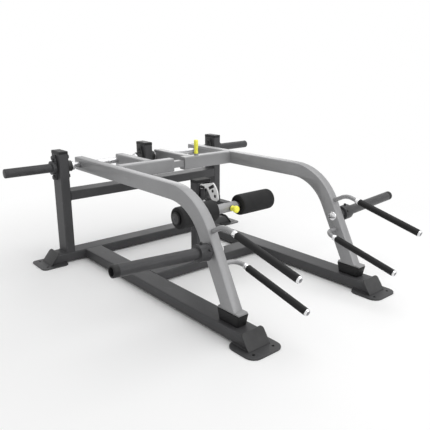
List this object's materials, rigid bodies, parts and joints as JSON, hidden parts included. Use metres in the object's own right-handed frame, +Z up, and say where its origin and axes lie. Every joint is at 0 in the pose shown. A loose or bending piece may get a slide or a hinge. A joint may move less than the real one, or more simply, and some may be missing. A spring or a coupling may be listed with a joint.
{
  "type": "squat lunge machine",
  "caption": "Plate-loaded squat and lunge machine: two hinged lever arms with handles and weight horns on a low floor frame, with a foam leg roller arm between them.",
  "frame": {"origin": "on the floor, under the middle of the machine's bounding box", "axes": "+X to the right as the user sees it when facing the posts, +Y back towards the posts, +Z up"},
  "size_m": [1.7134, 1.6412, 0.6443],
  "materials": {
    "frame_paint": "charcoal powder coat, satin with fine metallic grain",
    "arm_paint": "silver powder coat, satin with fine metallic grain",
    "plate_paint": "pale laser cut plate, satin",
    "zinc": "bright zinc plate",
    "cap_plastic": "black moulded plastic",
    "rubber": "black moulded rubber",
    "foam": "black closed cell foam with a smooth skin",
    "knob_plastic": "bright yellow moulded plastic"
  },
  "bodies": {
    "frame": {"rear_base_beam": "frame_paint", "left_side_tube": "frame_paint", "right_side_tube": "frame_paint", "middle_base_beam": "frame_paint", "upper_rear_beam": "frame_paint", "left_rear_post": "frame_paint", "right_rear_post": "frame_paint", "centre_post": "frame_paint", "roller_post": "frame_paint", "left_rear_foot": "frame_paint", "right_rear_foot": "frame_paint", "left_front_foot": "frame_paint", "right_front_foot": "frame_paint", "left_beam_cap": "cap_plastic", "right_beam_cap": "cap_plastic", "left_side_tube_cap": "cap_plastic", "right_side_tube_cap": "cap_plastic", "left_post_cap": "cap_plastic", "right_post_cap": "cap_plastic", "centre_post_cap": "cap_plastic", "roller_post_cap": "cap_plastic", "left_outer_bearing": "frame_paint", "right_outer_bearing": "frame_paint", "left_inner_bearing": "frame_paint", "right_inner_bearing": "frame_paint", "left_storage_horn": "frame_paint", "right_storage_horn": "frame_paint", "left_bumper": "rubber", "right_bumper": "rubber", "roller_bracket": "frame_paint", "selector_plate": "plate_paint", "roller_pivot_bolt": "zinc"},
    "left_arm": {"left_arm_rail": "arm_paint", "left_inner_rail": "arm_paint", "left_cross_tube": "arm_paint", "left_pivot_shaft": "zinc", "left_load_horn": "frame_paint", "left_horn_end_cap": "cap_plastic", "left_upper_handle": "arm_paint", "left_lower_handle": "arm_paint", "left_upper_grip": "rubber", "left_lower_grip": "rubber"},
    "right_arm": {"right_arm_rail": "arm_paint", "right_inner_rail": "arm_paint", "right_cross_tube": "arm_paint", "right_pivot_shaft": "zinc", "right_load_horn": "frame_paint", "right_horn_end_cap": "cap_plastic", "right_upper_handle": "arm_paint", "right_lower_handle": "arm_paint", "right_upper_grip": "rubber", "right_lower_grip": "rubber"},
    "link_slider": {"link_bar": "arm_paint"},
    "link_pull_pin": {"link_pin": "knob_plastic"},
    "roller_swing_arm": {"roller_arm": "frame_paint", "roller_sleeve": "arm_paint", "roller_shaft": "zinc"},
    "left_roller_pad": {"left_roller": "foam"},
    "right_roller_pad": {"right_roller": "foam"},
    "roller_pull_knob": {"roller_knob": "knob_plastic"}
  },
  "joints": [
    {"name": "left_arm_swing", "type": "hinge", "parent": "frame", "child": "left_arm", "pos_m": [-0.391, 0.73562, 0.523], "axis": [-1, 0, 0], "range_deg": [0, 40]},
    {"name": "right_arm_swing", "type": "hinge", "parent": "frame", "child": "right_arm", "pos_m": [0.391, 0.73562, 0.523], "axis": [-1, 0, 0], "range_deg": [0, 40]},
    {"name": "link_slide", "type": "slide", "parent": "right_arm", "child": "link_slider", "axis": [1, 0, 0], "range_m": [0, 0.055]},
    {"name": "link_pin_pull", "type": "slide", "parent": "right_arm", "child": "link_pull_pin", "axis": [0, 0, 1], "range_m": [0, 0.012], "stiffness_N_per_m": 400, "springref_m": -0.01},
    {"name": "roller_arm_swing", "type": "hinge", "parent": "frame", "child": "roller_swing_arm", "pos_m": [0, 0.13562, 0.365], "axis": [-1, 0, 0], "range_deg": [0, 30]},
    {"name": "left_roller_spin", "type": "hinge", "parent": "roller_swing_arm", "child": "left_roller_pad", "pos_m": [-0.2, -0.01438, 0.365], "axis": [1, 0, 0], "continuous": true},
    {"name": "right_roller_spin", "type": "hinge", "parent": "roller_swing_arm", "child": "right_roller_pad", "pos_m": [0.2, -0.01438, 0.365], "axis": [1, 0, 0], "continuous": true},
    {"name": "roller_knob_pull", "type": "slide", "parent": "roller_swing_arm", "child": "roller_pull_knob", "axis": [0, -1, 0], "range_m": [0, 0.012], "stiffness_N_per_m": 400, "springref_m": -0.01}
  ]
}
